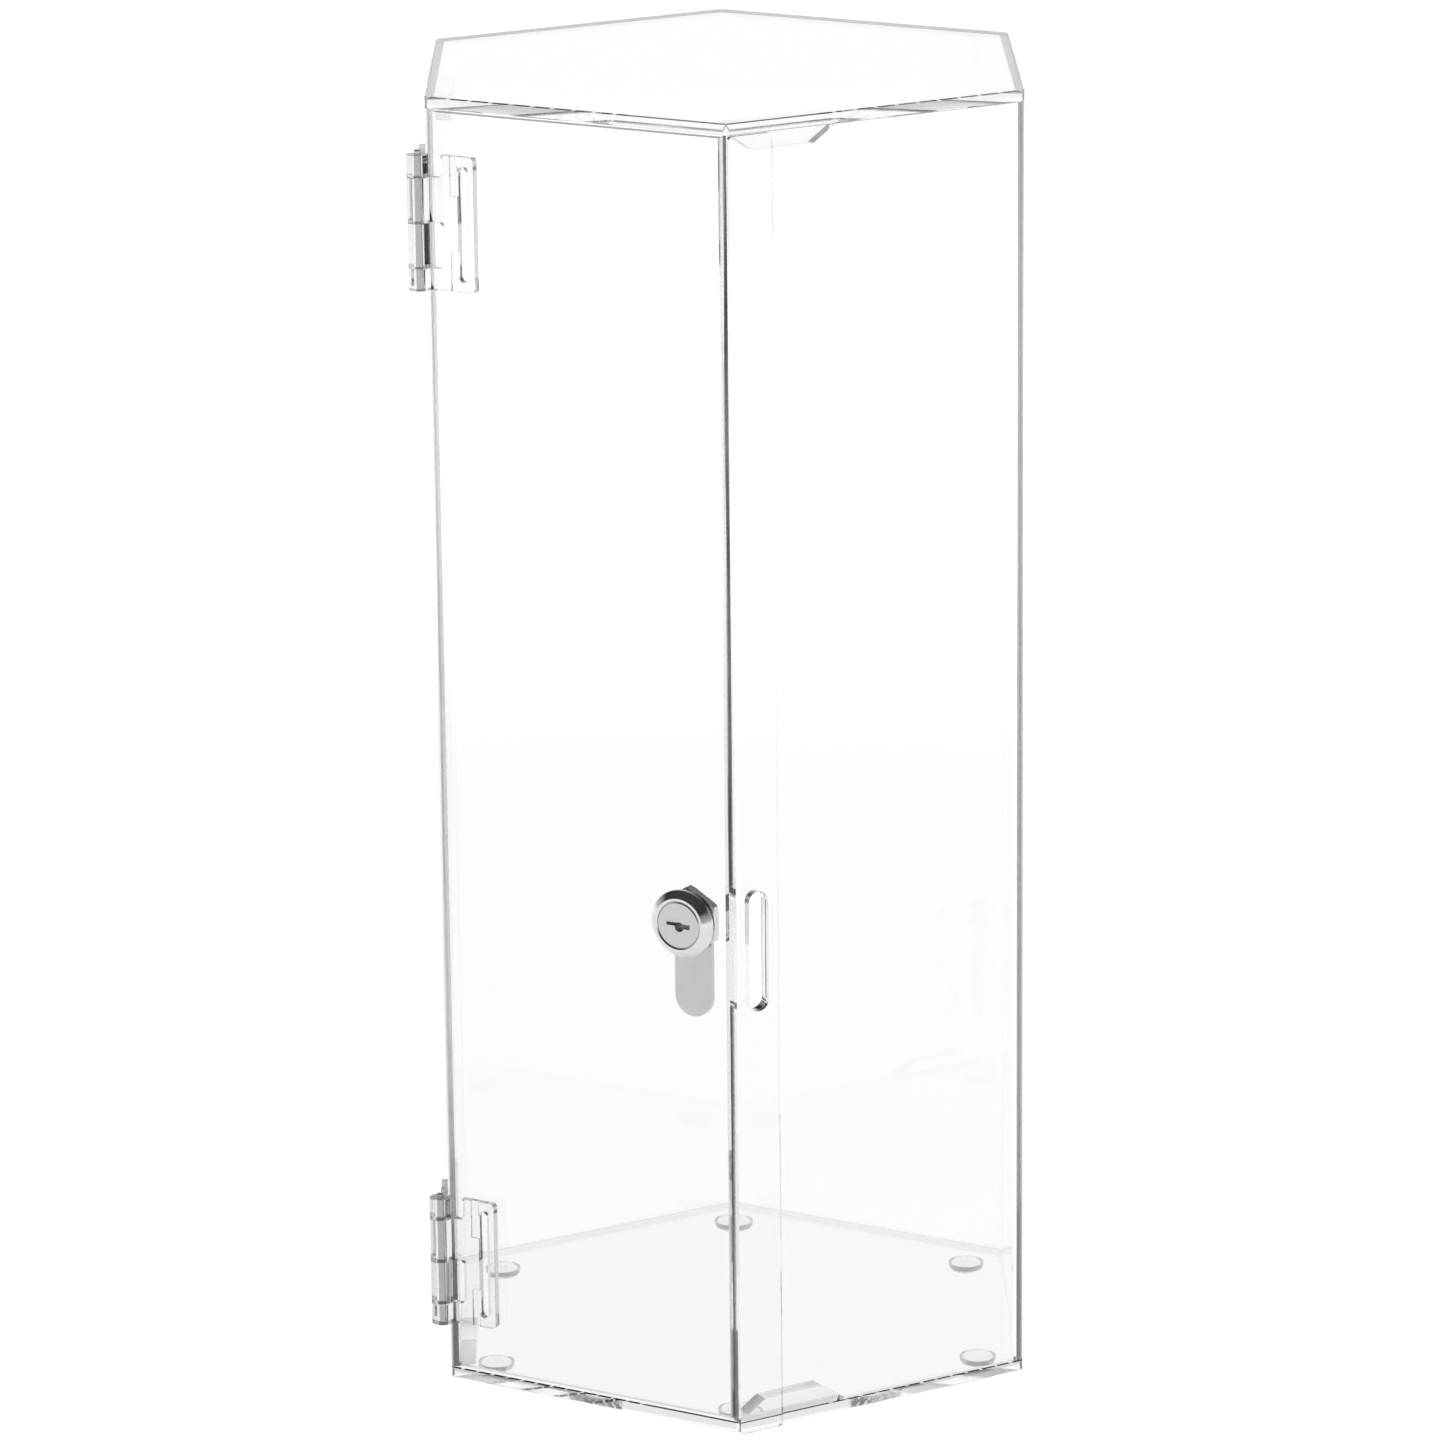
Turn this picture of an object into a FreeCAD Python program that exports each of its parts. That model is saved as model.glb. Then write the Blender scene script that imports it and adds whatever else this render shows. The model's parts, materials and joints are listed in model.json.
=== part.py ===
import FreeCAD, Part
import math
import os

# Clear acrylic hexagonal display tower with a hinged front door and a cam lock, in millimetres.
# The pieces are drawn about the tower's axis, standing on the plane z = 0, with +Z up and the door facing -Y.
# Each is then moved so that the origin is the middle of the footprint, hinge barrels included.

# Tower
SIDE = 115.5  # width of a face, which is also the distance from the axis to a corner
SHEET = 3.0  # thickness of the bent wall sheet and of the door
PLATE = 4.0  # thickness of the base and top plates
FOOT_HEIGHT = 3.2
TOP_Z = 457.2  # 18 inches over all, feet included
LOCK_CORNER = 300.0  # corner between the door and the slotted wall, in degrees about the axis
HINGE_CORNER = 240.0  # corner between the door and the wall that carries the hinges
BEND_CORNERS = (0.0, 60.0, 120.0, 180.0)  # corners where the wall sheet is heat-bent
ALL_CORNERS = (0.0, 60.0, 120.0, 180.0, 240.0, 300.0)
TURN_PER_CORNER = 60.0
BEND_OUTSIDE = 6.0  # outer radius of a bend
BEND_INSIDE = BEND_OUTSIDE - SHEET
PLATE_CORNER = 2.0  # rounding of a plate's six corners
EDGE_BREAK = 0.4  # small bevel along the polished edges
BOND = 0.05  # cement line, or the seat of a fitting on the sheet

# Lock strip, bonded to the outside of the slotted wall beside the door
STRIP_WIDTH = 16.7
STRIP_THICKNESS = 1.5
STRIP_CORNER = 1.6
STRIP_TOP_GAP = 0.2
SLOT_WIDTH = 7.5
SLOT_FROM_CORNER = 8.75  # from the door's corner to the middle of the slot, along the wall
SLOT_LOW_Z = 153.8
SLOT_HIGH_Z = 196.0

# Four bonded blocks that stiffen the wall ends and stop the door
BLOCK_LENGTH = 41.0
BLOCK_SHORT = 23.0
BLOCK_HEIGHT = 6.0
BLOCK_DEPTH = 6.0
BLOCK_FROM_CORNER = 2.4

# Door
DOOR_SIDE_GAP = 3.1  # from each corner of the tower to the door's edge
DOOR_END_GAP = 1.0  # above the base plate and below the top plate

# Hinges: two alike, each with a wall leaf, a door leaf and a pin
HINGE_X = -58.4
HINGE_Y = -104.1
HINGE_LOW_Z = (25.1, 392.4)
HINGE_NAMES = ("bottom", "top")
KNUCKLE_HEIGHTS = (7.5, 15.4, 15.5, 7.5)  # bottom to top, door leaf first, then taken in turns
KNUCKLE_GAP = 0.3
BARREL_RADIUS = 3.75
KNUCKLE_CLEARANCE = 0.35  # around the other leaf's knuckles
NOTCH_REACH = 8.2  # from the hinge axis to the end of a notch beside the other leaf's knuckle
NOTCH_CORNER = 1.4
LEAF_THICKNESS = 2.5
LEAF_REACH = 20.65  # from the hinge axis to the leaf's tip
LEAF_CORNER = 1.5
LEAF_SLOT_WIDTH = 3.5
LEAF_SLOT_FROM_AXIS = 16.15
LEAF_SLOT_MARGIN = 3.4  # from the slot's ends to the leaf's top and bottom
RECESS_WIDTH = 3.0  # two shallow moulded recesses beside the slot, open at the leaf's ends
RECESS_LENGTH = 13.5
RECESS_DEPTH = 0.9
LEAF_RELIEF = 0.32  # lifts the door leaf clear of the wall sheet's cut end
WALL_LEAF_TURN = 120.0  # direction of the hinge wall, in degrees
PIN_RADIUS = 1.2
PIN_FIT = 0.05  # radial clearance where the door leaf turns on the pin
PIN_GRIP = 0.02  # radial room for the adhesive that holds the pin in the wall leaf
PIN_BELOW = 0.5
PIN_ABOVE = 1.6
PIN_TIP = 0.4

# Cam lock, on its own axis: z outward from the door's outer face, x to the right, y up
LOCK_X = 38.25
LOCK_Z = 183.2
FLANGE_RADIUS = 11.7
FLANGE_RIM = 1.2
FACE_RADIUS = 9.35
HEAD_HEIGHT = 3.8
BODY_RADIUS = 8.0  # threaded body through the door
BODY_FLATS = 14.0
BODY_LENGTH = 7.1
HOLE_FIT = 0.2  # around the threaded body in the door
BORE_RADIUS = 5.8
PLUG_FIT = 0.05  # radial clearance between the plug and its housing
PLUG_CAP_RADIUS = 8.1
PLUG_CAP_BACK = 1.4
PLUG_SETBACK = 0.1
WASHER_RADIUS = 11.0
WASHER_THICKNESS = 0.5
NUT_FLATS = 20.8
NUT_THICKNESS = 3.4
NUT_SIDES = 6
NUT_BEVEL = 0.8
KEYWAY_HALF_LENGTH = 4.5
KEYWAY_LEFT = (-0.2, 1.0)  # lower and upper side of its left arm
KEYWAY_RIGHT = (-1.0, 0.7)  # lower and upper side of its right arm
KEYWAY_POST_RADIUS = 1.7
KEYWAY_POST = (0.4, -0.5)
KEYWAY_DEPTH = 6.6
RING_BEVEL = 0.35  # bevel of the plug's rim and of the seat around it
CAM_GAP = 0.3  # between the housing's end and the cam
CAM_THICKNESS = 2.0
CAM_WIDTH = 14.2
CAM_REACH = 34.8  # from the lock's axis to the blade's tip
CAM_SQUARE = 6.0
TAIL_SHORT = 0.1  # the plug's square tail stops this far inside the cam
SCREW_SHANK_RADIUS = 1.6
SCREW_DEPTH = 5.0
SCREW_HEAD_RADIUS = 3.8
SCREW_HEAD_HEIGHT = 2.2
SCREW_DOME = 0.8
SCREW_RECESS_LENGTH = 4.4
SCREW_RECESS_WIDTH = 0.9
SCREW_RECESS_DEPTH = 1.2
CAM_WASHER_RADIUS = 4.8
CAM_WASHER_THICKNESS = 0.8

# Feet: six clear bumpers under the base plate, one at each corner
FOOT_RADIUS = 6.35
FOOT_ROUND = 2.4
FOOT_FROM_AXIS = 97.0

# Derived sizes
APOTHEM = SIDE * math.cos(math.radians(TURN_PER_CORNER / 2))
BASE_LOW_Z = FOOT_HEIGHT
BASE_TOP_Z = BASE_LOW_Z + PLATE
LID_LOW_Z = TOP_Z - PLATE
MIDDLE_Z = (BASE_TOP_Z + LID_LOW_Z) / 2
INNER_SIDE = SIDE - SHEET / math.cos(math.radians(TURN_PER_CORNER / 2))
CAM_FRONT = -(BODY_LENGTH + CAM_GAP)
CAM_BACK = CAM_FRONT - CAM_THICKNESS
TO_FOOTPRINT_MIDDLE = FreeCAD.Vector(0, (BARREL_RADIUS - HINGE_Y - APOTHEM) / 2, 0)
PAST = 5.0  # how far a cutting tool runs past the piece it cuts
NEAR = 0.01  # closeness used to pick out an edge

ORIGIN = FreeCAD.Vector(0, 0, 0)
X_AXIS = FreeCAD.Vector(1, 0, 0)
Y_AXIS = FreeCAD.Vector(0, 1, 0)
Z_AXIS = FreeCAD.Vector(0, 0, 1)


def polar(radius, degrees, z=0.0):
    """Point at a radius and an angle about the tower's axis."""
    angle = math.radians(degrees)
    return FreeCAD.Vector(radius * math.cos(angle), radius * math.sin(angle), z)


def extruded(points, direction):
    """Solid swept from a closed outline of points along a vector."""
    outline = Part.makePolygon(points + [points[0]])
    return Part.Face(outline).extrude(direction)


def box(low, high):
    """Box between two corners given as (x, y, z)."""
    size = [high[i] - low[i] for i in range(3)]
    return Part.makeBox(size[0], size[1], size[2], FreeCAD.Vector(*low))


def rod(radius, z_low, z_high):
    """Upright cylinder on the local z axis."""
    return Part.makeCylinder(radius, z_high - z_low, FreeCAD.Vector(0, 0, z_low))


def obround_through_wall(x_middle, width, z_low, z_high, y_low, y_high):
    """Slot-shaped tool with rounded top and bottom, running along local y."""
    radius = width / 2
    depth = y_high - y_low
    tool = box((x_middle - radius, y_low, z_low + radius), (x_middle + radius, y_high, z_high - radius))
    for z_end in (z_low + radius, z_high - radius):
        end = Part.makeCylinder(radius, depth, FreeCAD.Vector(x_middle, y_low, z_end), Y_AXIS)
        tool = tool.fuse(end)
    return tool.removeSplitter()


def hexagonal_prism(corner_radius, z_low, z_high):
    """Six-sided prism about the tower's axis."""
    points = [polar(corner_radius, corner, z_low) for corner in ALL_CORNERS]
    return extruded(points, FreeCAD.Vector(0, 0, z_high - z_low))


def round_corners(prism, corner_radius, corners, fillet_radius):
    """Rounds the upright edges of a prism that stand at the given corners."""
    edges = []
    for edge in prism.Edges:
        foot = edge.Vertexes[0].Point
        upright = abs(edge.Vertexes[-1].Point.z - foot.z) > NEAR
        for corner in corners:
            if upright and (foot - polar(corner_radius, corner, foot.z)).Length < NEAR:
                edges.append(edge)
    return prism.makeFillet(fillet_radius, edges)


def on_slotted_wall(shape):
    """Places a shape drawn as x along the wall from the lock corner, y inward and z up."""
    turn = FreeCAD.Rotation(Z_AXIS, TURN_PER_CORNER)
    return shape.transformGeometry(FreeCAD.Placement(polar(SIDE, LOCK_CORNER), turn).toMatrix())


def on_lock_axis(shape):
    """Places a lock piece drawn about its local z, which points out of the door."""
    seat = FreeCAD.Vector(LOCK_X, -APOTHEM, LOCK_Z)
    placed = shape.copy()
    placed.Placement = FreeCAD.Placement(seat, FreeCAD.Rotation(X_AXIS, 90)).multiply(placed.Placement)
    return placed


def plate(z_low):
    """Full hexagonal plate with rounded corners and bevelled rims."""
    prism = hexagonal_prism(SIDE, z_low, z_low + PLATE)
    rounded = round_corners(prism, SIDE, ALL_CORNERS, PLATE_CORNER)
    rim = [edge for edge in rounded.Edges if abs(edge.BoundBox.ZMax - edge.BoundBox.ZMin) < NEAR]
    return rounded.makeChamfer(EDGE_BREAK, rim)


def cam_slot():
    """Tool for the slot that the cam passes through, in the strip and the wall behind it."""
    return on_slotted_wall(
        obround_through_wall(
            SLOT_FROM_CORNER, SLOT_WIDTH, SLOT_LOW_Z, SLOT_HIGH_Z, -STRIP_THICKNESS - PAST, SHEET + PAST
        )
    )


def body_shell():
    """One sheet bent four times into five walls, open on the door's side."""
    outside = hexagonal_prism(SIDE, BASE_TOP_Z + BOND, LID_LOW_Z - BOND)
    outside = round_corners(outside, SIDE, BEND_CORNERS, BEND_OUTSIDE)
    inside = hexagonal_prism(INNER_SIDE, BASE_TOP_Z, LID_LOW_Z)
    inside = round_corners(inside, INNER_SIDE, BEND_CORNERS, BEND_INSIDE)
    half_turn = TURN_PER_CORNER / 2
    corner = polar(SIDE, LOCK_CORNER)
    end_inside = corner - polar(SHEET, LOCK_CORNER + half_turn)
    inner_corner = polar(INNER_SIDE, LOCK_CORNER)
    right_side = [corner - FreeCAD.Vector(0, PAST, 0), corner, end_inside, inner_corner]
    right_side.append(inner_corner + FreeCAD.Vector(0, PAST, 0))
    left_side = [FreeCAD.Vector(-point.x, point.y, 0) for point in reversed(right_side)]
    doorway = extruded(right_side + left_side, FreeCAD.Vector(0, 0, TOP_Z))
    return outside.cut(inside).cut(doorway).cut(cam_slot())


def lock_strip():
    """Thin strip with rounded corners over the free end of the slotted wall."""
    low = (0, -STRIP_THICKNESS - BOND, BASE_LOW_Z)
    high = (STRIP_WIDTH, -BOND, LID_LOW_Z - STRIP_TOP_GAP)
    strip = box(low, high)
    corners = [edge for edge in strip.Edges if abs(edge.BoundBox.YLength - STRIP_THICKNESS) < NEAR]
    return on_slotted_wall(strip.makeFillet(STRIP_CORNER, corners)).cut(cam_slot())


def lock_side_block():
    """Tapered block on the base plate, inside the slotted wall."""
    taper = (BLOCK_LENGTH - BLOCK_SHORT) / 2
    start = BLOCK_FROM_CORNER
    face = SHEET + BOND
    low_z = BASE_TOP_Z + BOND
    outline = [
        FreeCAD.Vector(start, face, low_z),
        FreeCAD.Vector(start + BLOCK_LENGTH, face, low_z),
        FreeCAD.Vector(start + BLOCK_LENGTH - taper, face, low_z + BLOCK_HEIGHT),
        FreeCAD.Vector(start + taper, face, low_z + BLOCK_HEIGHT),
    ]
    return on_slotted_wall(extruded(outline, FreeCAD.Vector(0, BLOCK_DEPTH, 0)))


def corner_blocks():
    """The block on the lock side, and its mirror images on the hinge side and under the top plate."""
    bottom_lock = lock_side_block()
    bottom_hinge = bottom_lock.mirror(ORIGIN, X_AXIS)
    middle = FreeCAD.Vector(0, 0, MIDDLE_Z)
    return {
        "block_bottom_lock": bottom_lock,
        "block_bottom_hinge": bottom_hinge,
        "block_top_lock": bottom_lock.mirror(middle, Z_AXIS),
        "block_top_hinge": bottom_hinge.mirror(middle, Z_AXIS),
    }


def double_flat_rod(radius, flats, z_low, z_high):
    """Cylinder with a flat on its left and right sides."""
    slab = box((-flats / 2, -radius - PAST, z_low), (flats / 2, radius + PAST, z_high))
    return rod(radius, z_low, z_high).common(slab)


def door_panel():
    """Flat sheet standing between the plates, with the lock's hole."""
    half = SIDE / 2 - DOOR_SIDE_GAP
    low = (-half, -APOTHEM, BASE_TOP_Z + DOOR_END_GAP)
    high = (half, -APOTHEM + SHEET, LID_LOW_Z - DOOR_END_GAP)
    panel = box(low, high)
    hole = double_flat_rod(BODY_RADIUS + HOLE_FIT, BODY_FLATS + 2 * HOLE_FIT, -SHEET - PAST, PAST)
    return panel.cut(on_lock_axis(hole))


def knuckle_spans(low_z):
    """Heights of a hinge's knuckles: the door leaf's, then the wall leaf's."""
    spans = ([], [])
    z = low_z
    for index, height in enumerate(KNUCKLE_HEIGHTS):
        spans[index % 2].append((z, z + height))
        z += height
    return spans


def knuckle_notch(z_low, z_high):
    """Tool with rounded inner corners that frees a leaf around the other leaf's knuckle."""
    notch = box((-PAST, -BARREL_RADIUS - PAST, z_low), (NOTCH_REACH, BARREL_RADIUS + PAST, z_high))
    inner = []
    for edge in notch.Edges:
        if edge.BoundBox.XMin > NOTCH_REACH - NEAR and edge.BoundBox.ZLength < NEAR:
            inner.append(edge)
    return notch.makeFillet(NOTCH_CORNER, inner)


def hinge_leaf(low_z, own, other, standoff, bore):
    """Hinge leaf about the local z axis: x away from the pin, y out of the panel it is bonded to."""
    high_z = low_z + sum(KNUCKLE_HEIGHTS)
    bonded_face = BOND - standoff
    leaf = box((0, bonded_face, low_z), (LEAF_REACH, bonded_face + LEAF_THICKNESS, high_z))
    tips = []
    for edge in leaf.Edges:
        if edge.BoundBox.XMin > LEAF_REACH - NEAR and edge.BoundBox.ZLength < NEAR:
            tips.append(edge)
    leaf = leaf.makeFillet(LEAF_CORNER, tips)
    for z_low, z_high in own:
        bottom = z_low if z_low == low_z else z_low + KNUCKLE_GAP / 2
        top = z_high if abs(z_high - high_z) < NEAR else z_high - KNUCKLE_GAP / 2
        leaf = leaf.fuse(rod(BARREL_RADIUS, bottom, top))
    for z_low, z_high in other:
        span = (z_low - KNUCKLE_GAP / 2, z_high + KNUCKLE_GAP / 2)
        leaf = leaf.cut(rod(BARREL_RADIUS + KNUCKLE_CLEARANCE, *span)).cut(knuckle_notch(*span))
    leaf = leaf.cut(rod(bore, low_z - PAST, high_z + PAST))
    slot = obround_through_wall(
        LEAF_SLOT_FROM_AXIS,
        LEAF_SLOT_WIDTH,
        low_z + LEAF_SLOT_MARGIN,
        high_z - LEAF_SLOT_MARGIN,
        bonded_face - PAST,
        bonded_face + LEAF_THICKNESS + PAST,
    )
    leaf = leaf.cut(slot)
    recess_x = LEAF_SLOT_FROM_AXIS - LEAF_SLOT_WIDTH / 2 - RECESS_WIDTH
    recess_y = bonded_face + LEAF_THICKNESS - RECESS_DEPTH
    for z_low, z_high in ((low_z - PAST, low_z + RECESS_LENGTH), (high_z - RECESS_LENGTH, high_z + PAST)):
        recess = box((recess_x, recess_y, z_low), (recess_x + RECESS_WIDTH, recess_y + PAST, z_high))
        leaf = leaf.cut(recess)
    return leaf.removeSplitter()


def door_leaf(low_z):
    """Leaf bonded to the door's outer face, turning on the pin with a running fit."""
    own, other = knuckle_spans(low_z)
    standoff = -APOTHEM - HINGE_Y
    leaf = hinge_leaf(low_z, own, other, standoff, PIN_RADIUS + PIN_FIT)
    door_edge = -SIDE / 2 + DOOR_SIDE_GAP - HINGE_X
    relief = box(
        (-PAST, -standoff - PAST, low_z - PAST),
        (door_edge, -standoff + LEAF_RELIEF, low_z + sum(KNUCKLE_HEIGHTS) + PAST),
    )
    leaf = leaf.cut(relief).mirror(ORIGIN, Y_AXIS)
    leaf.translate(FreeCAD.Vector(HINGE_X, HINGE_Y, 0))
    return leaf


def wall_leaf(low_z):
    """Leaf bonded to the outside of the hinge wall, gripping the pin."""
    other, own = knuckle_spans(low_z)
    outward = polar(1.0, HINGE_CORNER - TURN_PER_CORNER / 2)
    standoff = FreeCAD.Vector(HINGE_X, HINGE_Y, 0).dot(outward) - APOTHEM
    leaf = hinge_leaf(low_z, own, other, standoff, PIN_RADIUS + PIN_GRIP)
    leaf.rotate(ORIGIN, Z_AXIS, WALL_LEAF_TURN)
    leaf.translate(FreeCAD.Vector(HINGE_X, HINGE_Y, 0))
    return leaf


def hinge_pin(low_z):
    """Straight pin with bevelled tips that shows a little at both ends of the barrel."""
    pin = rod(PIN_RADIUS, low_z - PIN_BELOW, low_z + sum(KNUCKLE_HEIGHTS) + PIN_ABOVE)
    rims = [edge for edge in pin.Edges if edge.BoundBox.ZLength < NEAR]
    pin = pin.makeChamfer(PIN_TIP, rims)
    pin.translate(FreeCAD.Vector(HINGE_X, HINGE_Y, 0))
    return pin


def lock_housing():
    """Low bevelled head with a threaded body behind it, bored for the plug."""
    head = rod(FLANGE_RADIUS, BOND, FLANGE_RIM)
    cone_base = FreeCAD.Vector(0, 0, FLANGE_RIM)
    head = head.fuse(Part.makeCone(FLANGE_RADIUS, FACE_RADIUS, HEAD_HEIGHT - FLANGE_RIM, cone_base))
    body = double_flat_rod(BODY_RADIUS, BODY_FLATS, -BODY_LENGTH, FLANGE_RIM)
    housing = head.fuse(body)
    cap_seat = rod(PLUG_CAP_RADIUS + PLUG_FIT, PLUG_CAP_BACK - PLUG_SETBACK, HEAD_HEIGHT + PAST)
    seat_radius = PLUG_CAP_RADIUS + PLUG_FIT
    rim_low = FreeCAD.Vector(0, 0, HEAD_HEIGHT - RING_BEVEL)
    rim = Part.makeCone(seat_radius, seat_radius + RING_BEVEL, RING_BEVEL, rim_low)
    bore = rod(BORE_RADIUS, -BODY_LENGTH - PAST, HEAD_HEIGHT)
    return on_lock_axis(housing.cut(cap_seat).cut(rim).cut(bore))


def lock_washer():
    """Flat washer between the door and the nut."""
    ring = rod(WASHER_RADIUS, -SHEET - WASHER_THICKNESS, -SHEET - BOND)
    return on_lock_axis(ring.cut(rod(BODY_RADIUS, -SHEET - PAST, PAST)))


def lock_nut():
    """Thin hexagon nut with its points up and down and bevelled rims."""
    back = -SHEET - WASHER_THICKNESS - NUT_THICKNESS
    step = 2 * math.pi / NUT_SIDES
    point_radius = NUT_FLATS / 2 / math.cos(step / 2)
    points = []
    for corner in range(NUT_SIDES):
        angle = corner * step
        points.append(FreeCAD.Vector(point_radius * math.sin(angle), point_radius * math.cos(angle), back))
    nut = extruded(points, FreeCAD.Vector(0, 0, NUT_THICKNESS))
    for z_rim, height in ((back, NUT_THICKNESS), (back + NUT_THICKNESS, -NUT_THICKNESS)):
        direction = Z_AXIS if height > 0 else -Z_AXIS
        rim_radius = point_radius - NUT_BEVEL
        far_radius = rim_radius + abs(height) * math.sqrt(3)
        cone = Part.makeCone(rim_radius, far_radius, abs(height), FreeCAD.Vector(0, 0, z_rim), direction)
        nut = nut.common(cone)
    return on_lock_axis(nut.cut(rod(BODY_RADIUS, back - PAST, PAST)))


def keyway():
    """Tool for the stepped key slot with its round middle, lying level."""
    deep = HEAD_HEIGHT - KEYWAY_DEPTH
    front = HEAD_HEIGHT + PAST
    left = box((-KEYWAY_HALF_LENGTH, KEYWAY_LEFT[0], deep), (KEYWAY_POST[0], KEYWAY_LEFT[1], front))
    right = box((KEYWAY_POST[0], KEYWAY_RIGHT[0], deep), (KEYWAY_HALF_LENGTH, KEYWAY_RIGHT[1], front))
    middle = Part.makeCylinder(KEYWAY_POST_RADIUS, front - deep, FreeCAD.Vector(*KEYWAY_POST, deep))
    return left.fuse(right).fuse(middle).removeSplitter()


def lock_plug():
    """Turning plug: a broad cap in front, a barrel, and a square tail for the cam."""
    half = CAM_SQUARE / 2
    front = HEAD_HEIGHT - PLUG_SETBACK
    cap = rod(PLUG_CAP_RADIUS, PLUG_CAP_BACK, front)
    cap = cap.makeChamfer(RING_BEVEL, [edge for edge in cap.Edges if edge.BoundBox.ZMin > front - NEAR])
    barrel = rod(BORE_RADIUS - PLUG_FIT, CAM_FRONT, PLUG_CAP_BACK)
    tail = box((-half, -half, CAM_BACK + TAIL_SHORT), (half, half, CAM_FRONT))
    screw_hole = rod(SCREW_SHANK_RADIUS, CAM_BACK, CAM_BACK + SCREW_DEPTH)
    return on_lock_axis(cap.fuse(barrel).fuse(tail).cut(keyway()).cut(screw_hole))


def lock_cam():
    """Flat blade with rounded ends, hanging straight down from the plug's square."""
    radius = CAM_WIDTH / 2
    half = CAM_SQUARE / 2
    tip_y = -(CAM_REACH - radius)
    hub = rod(radius, CAM_BACK, CAM_FRONT)
    blade = box((-radius, tip_y, CAM_BACK), (radius, 0, CAM_FRONT))
    tip = Part.makeCylinder(radius, CAM_THICKNESS, FreeCAD.Vector(0, tip_y, CAM_BACK))
    square = box((-half, -half, CAM_BACK - PAST), (half, half, CAM_FRONT + PAST))
    return on_lock_axis(hub.fuse(blade).fuse(tip).removeSplitter().cut(square))


def cam_washer():
    """Small washer that holds the cam on the plug's tail."""
    ring = rod(CAM_WASHER_RADIUS, CAM_BACK - CAM_WASHER_THICKNESS, CAM_BACK)
    return on_lock_axis(ring.cut(rod(SCREW_SHANK_RADIUS, CAM_BACK - PAST, CAM_BACK + PAST)))


def cam_screw():
    """Pan-head screw with a cross recess, into the end of the plug."""
    seat = CAM_BACK - CAM_WASHER_THICKNESS
    end = seat - SCREW_HEAD_HEIGHT
    shank = rod(SCREW_SHANK_RADIUS, seat, CAM_BACK + SCREW_DEPTH)
    head = rod(SCREW_HEAD_RADIUS, end, seat)
    rim = [edge for edge in head.Edges if edge.BoundBox.ZMax < end + NEAR]
    head = head.makeFillet(SCREW_DOME, rim)
    screw = shank.fuse(head)
    long_half = SCREW_RECESS_LENGTH / 2
    thin_half = SCREW_RECESS_WIDTH / 2
    floor = end + SCREW_RECESS_DEPTH
    screw = screw.cut(box((-long_half, -thin_half, end - PAST), (long_half, thin_half, floor)))
    screw = screw.cut(box((-thin_half, -long_half, end - PAST), (thin_half, long_half, floor)))
    return on_lock_axis(screw)


def foot(corner):
    """Round clear bumper with a rounded side and a flat underside."""
    bumper = rod(FOOT_RADIUS, 0, FOOT_HEIGHT - BOND)
    rim = [edge for edge in bumper.Edges if edge.BoundBox.ZMax < NEAR]
    bumper = bumper.makeFillet(FOOT_ROUND, rim)
    bumper.translate(polar(FOOT_FROM_AXIS, corner))
    return bumper


def build_nodes():
    """Every node of the tower by name."""
    nodes = {
        "base_plate": plate(BASE_LOW_Z),
        "top_plate": plate(LID_LOW_Z),
        "body_shell": body_shell(),
        "lock_strip": lock_strip(),
        "door_panel": door_panel(),
        "lock_housing": lock_housing(),
        "lock_washer": lock_washer(),
        "lock_nut": lock_nut(),
        "lock_plug": lock_plug(),
        "lock_cam": lock_cam(),
        "cam_washer": cam_washer(),
        "cam_screw": cam_screw(),
    }
    nodes.update(corner_blocks())
    for name, low_z in zip(HINGE_NAMES, HINGE_LOW_Z):
        nodes["hinge_" + name + "_door_leaf"] = door_leaf(low_z)
        nodes["hinge_" + name + "_wall_leaf"] = wall_leaf(low_z)
        nodes["hinge_" + name + "_pin"] = hinge_pin(low_z)
    for number, corner in enumerate(ALL_CORNERS, start=1):
        nodes["foot_" + str(number)] = foot(corner)
    return nodes


os.makedirs("parts", exist_ok=True)
for node, shape in build_nodes().items():
    shape.translate(TO_FOOTPRINT_MIDDLE)
    shape.exportStep("parts/" + node + ".step")
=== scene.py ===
import json
import math
import bpy
from mathutils import Matrix, Vector


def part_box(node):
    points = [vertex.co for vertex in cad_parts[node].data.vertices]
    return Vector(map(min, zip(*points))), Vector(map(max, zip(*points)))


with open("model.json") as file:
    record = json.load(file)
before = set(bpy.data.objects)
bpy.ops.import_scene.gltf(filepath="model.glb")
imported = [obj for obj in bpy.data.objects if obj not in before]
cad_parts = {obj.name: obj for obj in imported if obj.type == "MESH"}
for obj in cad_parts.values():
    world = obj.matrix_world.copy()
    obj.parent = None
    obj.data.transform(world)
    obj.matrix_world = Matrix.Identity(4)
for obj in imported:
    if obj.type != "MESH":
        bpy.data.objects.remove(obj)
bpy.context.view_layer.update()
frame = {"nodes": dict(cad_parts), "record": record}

scene = bpy.context.scene

# ---------------------------------------------------------------- camera
AZIMUTH = math.radians(29.766)
ELEVATION = math.radians(15.251)
ROLL = math.radians(-0.600)
DISTANCE = 2.3803
LENS = 169.9
SENSOR = 36.0
CLIP_END = 100.0
AIM_HEIGHT = 0.2250
AIM_DEPTH = 0.003912  # the tower's axis, behind the middle of the footprint
AIM_SIDE = -0.00344


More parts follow.
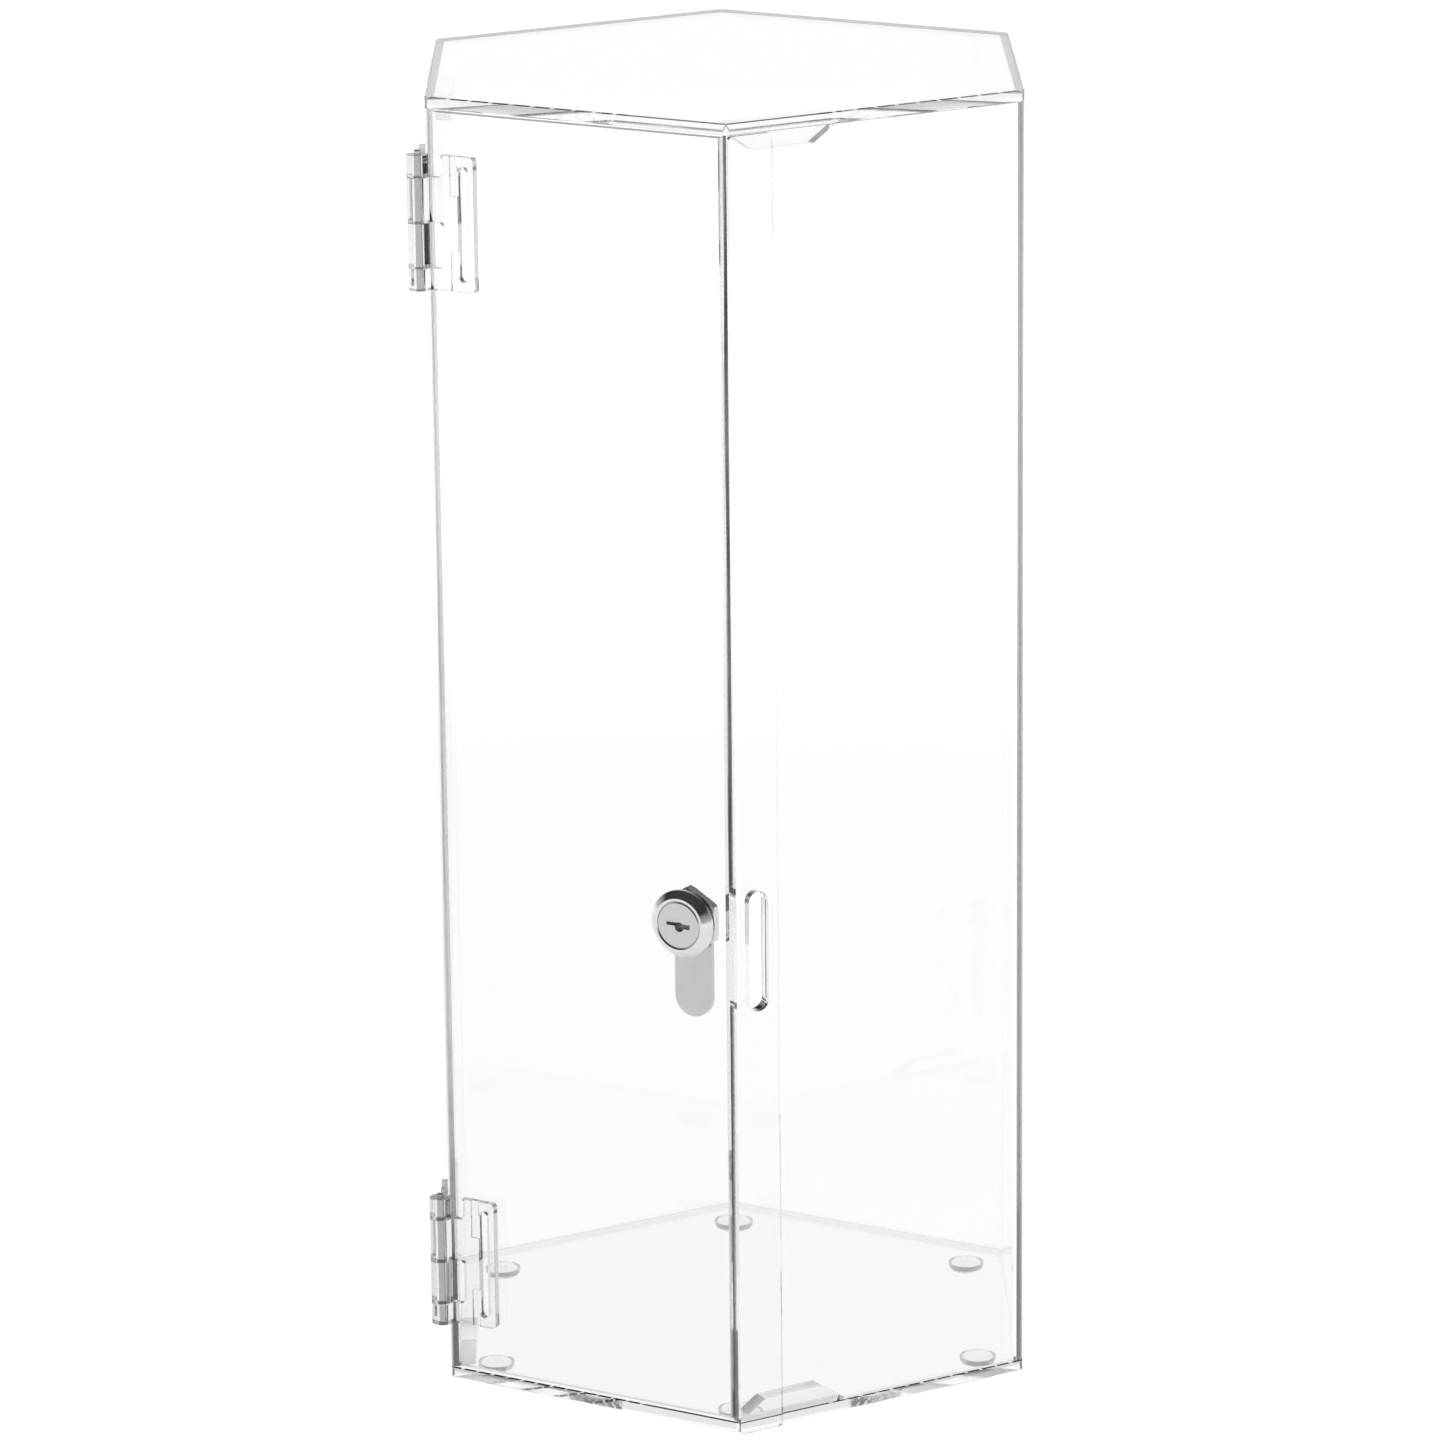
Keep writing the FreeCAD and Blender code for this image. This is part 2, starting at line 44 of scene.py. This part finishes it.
def make_camera():
    """Camera at the photograph's viewing angle."""
    flat = math.cos(ELEVATION)
    back = Vector((math.sin(AZIMUTH) * flat, -math.cos(AZIMUTH) * flat, math.sin(ELEVATION)))
    level = Vector((math.cos(AZIMUTH), math.sin(AZIMUTH), 0.0))
    upright = back.cross(level)
    right = level * math.cos(ROLL) + upright * math.sin(ROLL)
    up = upright * math.cos(ROLL) - level * math.sin(ROLL)
    place = Vector((0.0, AIM_DEPTH, AIM_HEIGHT)) + right * AIM_SIDE + back * DISTANCE
    data = bpy.data.cameras.new("camera")
    data.lens = LENS
    data.sensor_width = SENSOR
    data.clip_end = CLIP_END
    camera = bpy.data.objects.new("camera", data)
    scene.collection.objects.link(camera)
    turn = Matrix((right, up, back)).transposed().to_4x4()
    camera.matrix_world = Matrix.Translation(place) @ turn
    scene.camera = camera


make_camera()

# ---------------------------------------------------------------- materials
ACRYLIC_IOR = 1.49
RUBBER_IOR = 1.48
ABSORPTION_COLOUR = (0.45, 0.5, 0.5, 1.0)
RUBBER_COLOUR = (0.93, 0.95, 0.95, 1.0)
SAW_STRETCH = (6.0, 6.0, 1.0)  # saw streaks stand upright
BLADE_STRETCH = (1.0, 1.0, 0.12)  # scratches on the cam and its screw run up and down
WORN_SHADE = 0.9  # brightness of plating where it is dulled


def new_material(name):
    """Empty node material, its node tree and its output."""
    material = bpy.data.materials.new(name)
    material.use_nodes = True
    tree = material.node_tree
    tree.nodes.clear()
    return material, tree, tree.nodes.new("ShaderNodeOutputMaterial")


def object_coordinates(tree):
    return tree.nodes.new("ShaderNodeTexCoord").outputs["Object"]


def noise(tree, scale, detail=2.0, rough=0.5, stretch=None):
    """Noise in object coordinates, stretched if asked."""
    node = tree.nodes.new("ShaderNodeTexNoise")
    for key, value in (("Scale", scale), ("Detail", detail), ("Roughness", rough)):
        node.inputs[key].default_value = value
    source = object_coordinates(tree)
    if stretch is not None:
        mapping = tree.nodes.new("ShaderNodeMapping")
        mapping.inputs["Scale"].default_value = stretch
        tree.links.new(source, mapping.inputs["Vector"])
        source = mapping.outputs["Vector"]
    tree.links.new(source, node.inputs["Vector"])
    return node.outputs["Fac"]


def ramp(tree, source, low, high, out_low, out_high):
    """Straight-line map from low..high to out_low..out_high."""
    node = tree.nodes.new("ShaderNodeMapRange")
    for key, value in (("From Min", low), ("From Max", high), ("To Min", out_low), ("To Max", out_high)):
        node.inputs[key].default_value = value
    tree.links.new(source, node.inputs["Value"])
    return node.outputs["Result"]


def bump(tree, height, strength, distance):
    node = tree.nodes.new("ShaderNodeBump")
    node.inputs["Strength"].default_value = strength
    node.inputs["Distance"].default_value = distance
    tree.links.new(height, node.inputs["Height"])
    return node.outputs["Normal"]


def surface(tree, output, roughness, normal):
    """Principled shader with the given roughness and bump, wired to the output."""
    shader = tree.nodes.new("ShaderNodeBsdfPrincipled")
    tree.links.new(roughness, shader.inputs["Roughness"])
    tree.links.new(normal, shader.inputs["Normal"])
    tree.links.new(shader.outputs["BSDF"], output.inputs["Surface"])
    return shader


def acrylic(name, tint, absorb, haze_top=0.02, waviness=0.02):
    """Clear acrylic: sharp refraction, faint waviness, patches of haze, slight greying over long paths."""
    material, tree, output = new_material(name)
    patches = noise(tree, scale=60.0, detail=3.0)
    haze = ramp(tree, patches, low=0.55, high=0.8, out_low=0.0, out_high=haze_top)
    waves = bump(tree, noise(tree, scale=9.0, detail=1.0), strength=waviness, distance=0.002)
    shader = surface(tree, output, haze, waves)
    shader.inputs["Base Color"].default_value = (tint, tint, tint, 1.0)
    shader.inputs["IOR"].default_value = ACRYLIC_IOR
    shader.inputs["Transmission Weight"].default_value = 1.0
    volume = tree.nodes.new("ShaderNodeVolumeAbsorption")
    volume.inputs["Color"].default_value = ABSORPTION_COLOUR
    volume.inputs["Density"].default_value = absorb
    tree.links.new(volume.outputs["Volume"], output.inputs["Volume"])
    return material


def cut_edge(name, colour, clear, rough):
    """Cut edge of clear plastic: more or less milky, with fine upright saw streaks."""
    material, tree, output = new_material(name)
    streaks = noise(tree, scale=12.0, detail=2.0, rough=0.6, stretch=SAW_STRETCH)
    roughness = ramp(tree, streaks, low=0.35, high=0.65, out_low=rough * 0.3, out_high=rough)
    shader = surface(tree, output, roughness, bump(tree, streaks, strength=0.05, distance=0.0004))
    shader.inputs["Base Color"].default_value = (colour, colour, colour, 1.0)
    shader.inputs["IOR"].default_value = ACRYLIC_IOR
    shader.inputs["Transmission Weight"].default_value = clear
    return material


def metal(name, colour, roughness, stretch=(1.0, 1.0, 1.0)):
    """Plated metal with fine scratches and uneven polish."""
    material, tree, output = new_material(name)
    polish = noise(tree, scale=900.0, detail=5.0, rough=0.6, stretch=stretch)
    uneven = ramp(tree, polish, low=0.35, high=0.7, out_low=roughness * 0.8, out_high=roughness * 1.25)
    scratches = noise(tree, scale=2500.0, detail=3.0, rough=0.6, stretch=stretch)
    shader = surface(tree, output, uneven, bump(tree, scratches, strength=0.03, distance=0.0002))
    shader.inputs["Metallic"].default_value = 1.0
    mix = tree.nodes.new("ShaderNodeMix")
    mix.data_type = "RGBA"
    mix.inputs["A"].default_value = (*[channel * WORN_SHADE for channel in colour], 1.0)
    mix.inputs["B"].default_value = (*colour, 1.0)
    tree.links.new(noise(tree, scale=500.0, detail=4.0), mix.inputs["Factor"])
    tree.links.new(mix.outputs["Result"], shader.inputs["Base Color"])
    return material


def clear_rubber(name):
    """Clear soft bumper: slightly tinted, with a skin of uneven gloss."""
    material, tree, output = new_material(name)
    satin = ramp(tree, noise(tree, scale=700.0, detail=3.0), low=0.3, high=0.8, out_low=0.06, out_high=0.2)
    skin = bump(tree, noise(tree, scale=1200.0, detail=2.0), strength=0.05, distance=0.0005)
    shader = surface(tree, output, satin, skin)
    shader.inputs["Base Color"].default_value = RUBBER_COLOUR
    shader.inputs["IOR"].default_value = RUBBER_IOR
    shader.inputs["Transmission Weight"].default_value = 1.0
    return material


ACRYLIC = acrylic("clear_acrylic", tint=0.988, absorb=2.5)
DOOR_SHEET = acrylic("door_sheet", tint=0.988, absorb=9.0)
MOULDED = acrylic("moulded_acrylic", tint=0.93, absorb=6.0, haze_top=0.06, waviness=0.05)
BARREL = acrylic("moulded_barrel", tint=0.86, absorb=8.0, haze_top=0.06, waviness=0.08)
POLISHED_EDGE = cut_edge("polished_edge", colour=0.97, clear=1.0, rough=0.06)
SAWN_EDGE = cut_edge("sawn_edge", colour=0.97, clear=0.92, rough=0.1)
MOULDED_EDGE = cut_edge("moulded_edge", colour=0.62, clear=1.0, rough=0.15)
BLOCK_FACE = cut_edge("block_face", colour=0.94, clear=1.0, rough=0.14)
NICKEL = metal("nickel_plate", (0.78, 0.765, 0.74), roughness=0.16)
PLUG_FACE = metal("plug_face", (0.62, 0.615, 0.60), roughness=0.22)
STEEL = metal("plated_steel", (0.60, 0.595, 0.585), roughness=0.2, stretch=BLADE_STRETCH)
BUMPER = clear_rubber("clear_bumper")

SLOT_MATERIAL = {
    "clear_acrylic": ACRYLIC,
    "nickel_plate": NICKEL,
    "plated_steel": STEEL,
    "clear_bumper": BUMPER,
}

# ---------------------------------------------------------------- finishes on the carried-over nodes
UP = Vector((0.0, 0.0, 1.0))
AHEAD = Vector((0.0, -1.0, 0.0))
WALL_TURN = math.radians(60.0)  # between the door and the walls beside it
WALL_END_Y = -0.07  # the shell's free ends and its slot lie in front of this
BARREL_REACH = 0.0044  # from the hinge's axis to just past its barrel
# A face is on an edge when its normal's cosine with that of the flat side is less than this
SHEET_EDGE = 0.9
LEAF_EDGE = 0.7
WALL_END = 0.5
CORNER_BLOCKS = ("block_bottom_lock", "block_bottom_hinge", "block_top_lock", "block_top_hinge")


def finish_node(name, material):
    """Gives the whole node one finish."""
    mesh = frame["nodes"][name].data
    mesh.materials.clear()
    mesh.materials.append(material)


def finish_faces(name, material, is_meant):
    """Gives another finish to the faces that pass the test of their normal and their middle."""
    mesh = frame["nodes"][name].data
    mesh.materials.append(material)
    slot = len(mesh.materials) - 1
    for face in mesh.polygons:
        if is_meant(face.normal, face.center):
            face.material_index = slot


def turned_from(direction, cosine):
    """Test for faces that are neither square to the direction nor nearly so."""
    return lambda normal, centre: abs(normal.dot(direction)) < cosine


def wall_facing(side):
    """Outward direction of the wall beside the door, on the lock's side (1) or the hinges' side (-1)."""
    return Vector((side * math.sin(WALL_TURN), -math.cos(WALL_TURN), 0.0))


def on_wall_end(normal, centre):
    """The shell's two free ends beside the door, and the sides of the cam's slot."""
    flat_on = abs(normal.dot(wall_facing(math.copysign(1.0, centre.x))))
    return centre.y < WALL_END_Y and abs(normal.z) < SHEET_EDGE and flat_on < WALL_END


def finish_hinge(end):
    """Moulded leaves with darker cut edges, and the barrel round the pin."""
    pin_low, pin_high = (Vector(corner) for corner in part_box("hinge_" + end + "_pin"))
    axis = (pin_low + pin_high) / 2.0
    for leaf, facing in (("_door_leaf", AHEAD), ("_wall_leaf", wall_facing(-1))):
        name = "hinge_" + end + leaf
        finish_node(name, MOULDED)
        finish_faces(name, MOULDED_EDGE, turned_from(facing, LEAF_EDGE))
        finish_faces(name, BARREL, lambda normal, centre: (centre - axis).xy.length < BARREL_REACH)


for entry in frame["record"]["subparts"]:
    finish_node(entry["node"], SLOT_MATERIAL[entry["material_slot"]])
finish_node("lock_plug", PLUG_FACE)
finish_node("door_panel", DOOR_SHEET)
finish_faces("base_plate", POLISHED_EDGE, turned_from(UP, SHEET_EDGE))
finish_faces("top_plate", POLISHED_EDGE, turned_from(UP, SHEET_EDGE))
finish_faces("door_panel", SAWN_EDGE, turned_from(AHEAD, SHEET_EDGE))
finish_faces("lock_strip", SAWN_EDGE, turned_from(wall_facing(1), SHEET_EDGE))
finish_faces("body_shell", SAWN_EDGE, on_wall_end)
for block in CORNER_BLOCKS:
    finish_node(block, BLOCK_FACE)
for hinge_end in ("bottom", "top"):
    finish_hinge(hinge_end)

# ---------------------------------------------------------------- floor, world and light
FLOOR_HALF = 9.0
FLOOR_DROP = 0.0001  # keeps the floor just clear of the feet
FLOOR_PAINT = 0.1
FLOOR_STRENGTH = 1.3
FLOOR_REACH = 3.0
# Brightness along the distance from the tower, 1 being FLOOR_REACH
FLOOR_GLOW = ((0.0, 0.775), (0.26, 0.775), (0.38, 0.92), (0.6, 0.92), (0.85, 0.785))
WORLD_STRENGTH = 1.15
SWEEP_EDGE = (0.6, 0.85)  # where the sweep begins and is full, as the cosine of the angle from its middle
# Brightness from the horizon, 0, up to straight overhead, 1
SWEEP_GLOW = ((0.0, 0.95), (0.2, 0.86), (0.35, 0.75), (0.6, 0.2), (0.9, 0.05))
ROOM_GLOW = ((0.0, 0.5), (0.15, 0.36), (0.3, 0.26), (0.42, 0.03), (0.9, 0.05))
PATH_BOUNCES = 44  # light guided along the inside of a sheet needs this many to come out at its far edge


def grey_curve(tree, source, stops):
    """Grey through the given (position, value) stops."""
    node = tree.nodes.new("ShaderNodeValToRGB")
    elements = node.color_ramp.elements
    while len(elements) < len(stops):
        elements.new(0.5)
    for element, (position, value) in zip(elements, stops):
        element.position = position
        element.color = (value, value, value, 1.0)
    tree.links.new(source, node.inputs["Fac"])
    return node.outputs["Color"]


def make_floor():
    """Light-table floor: a pale sheet that glows evenly, a little brighter away from the tower."""
    mesh = bpy.data.meshes.new("floor")
    corners = [(x * FLOOR_HALF, y * FLOOR_HALF, 0.0) for x, y in ((-1, -1), (1, -1), (1, 1), (-1, 1))]
    mesh.from_pydata(corners, [], [(0, 1, 2, 3)])
    floor = bpy.data.objects.new("floor", mesh)
    scene.collection.objects.link(floor)
    floor.location.z = -FLOOR_DROP
    material, tree, output = new_material("pale_floor")
    diffuse = tree.nodes.new("ShaderNodeBsdfDiffuse")
    diffuse.inputs["Color"].default_value = (FLOOR_PAINT, FLOOR_PAINT, FLOOR_PAINT, 1.0)
    distance = tree.nodes.new("ShaderNodeVectorMath")
    distance.operation = "LENGTH"
    tree.links.new(object_coordinates(tree), distance.inputs[0])
    reach = ramp(tree, distance.outputs["Value"], low=0.0, high=FLOOR_REACH, out_low=0.0, out_high=1.0)
    glow = tree.nodes.new("ShaderNodeEmission")
    tree.links.new(grey_curve(tree, reach, FLOOR_GLOW), glow.inputs["Color"])
    glow.inputs["Strength"].default_value = FLOOR_STRENGTH
    both = tree.nodes.new("ShaderNodeAddShader")
    tree.links.new(diffuse.outputs["BSDF"], both.inputs[0])
    tree.links.new(glow.outputs["Emission"], both.inputs[1])
    tree.links.new(both.outputs["Shader"], output.inputs["Surface"])
    mesh.materials.append(material)


def make_world():
    """Studio with a white sweep behind the tower and a dim room on the other sides and overhead."""
    world = bpy.data.worlds.new("studio")
    scene.world = world
    world.use_nodes = True
    tree = world.node_tree
    tree.nodes.clear()
    direction = tree.nodes.new("ShaderNodeTexCoord").outputs["Generated"]
    split = tree.nodes.new("ShaderNodeSeparateXYZ")
    tree.links.new(direction, split.inputs["Vector"])
    height = ramp(tree, split.outputs["Z"], low=0.0, high=1.0, out_low=0.0, out_high=1.0)
    towards_sweep = tree.nodes.new("ShaderNodeVectorMath")
    towards_sweep.operation = "DOT_PRODUCT"
    towards_sweep.inputs[1].default_value = (-math.sin(AZIMUTH), math.cos(AZIMUTH), 0.0)
    tree.links.new(direction, towards_sweep.inputs[0])
    mix = tree.nodes.new("ShaderNodeMix")
    mix.data_type = "RGBA"
    tree.links.new(ramp(tree, towards_sweep.outputs["Value"], *SWEEP_EDGE, 0.0, 1.0), mix.inputs["Factor"])
    tree.links.new(grey_curve(tree, height, ROOM_GLOW), mix.inputs["A"])
    tree.links.new(grey_curve(tree, height, SWEEP_GLOW), mix.inputs["B"])
    background = tree.nodes.new("ShaderNodeBackground")
    tree.links.new(mix.outputs["Result"], background.inputs["Color"])
    background.inputs["Strength"].default_value = WORLD_STRENGTH
    output = tree.nodes.new("ShaderNodeOutputWorld")
    tree.links.new(background.outputs["Background"], output.inputs["Surface"])


make_floor()
make_world()
scene.view_settings.view_transform = "Standard"
scene.cycles.max_bounces = PATH_BOUNCES
scene.cycles.glossy_bounces = PATH_BOUNCES
scene.cycles.transmission_bounces = PATH_BOUNCES
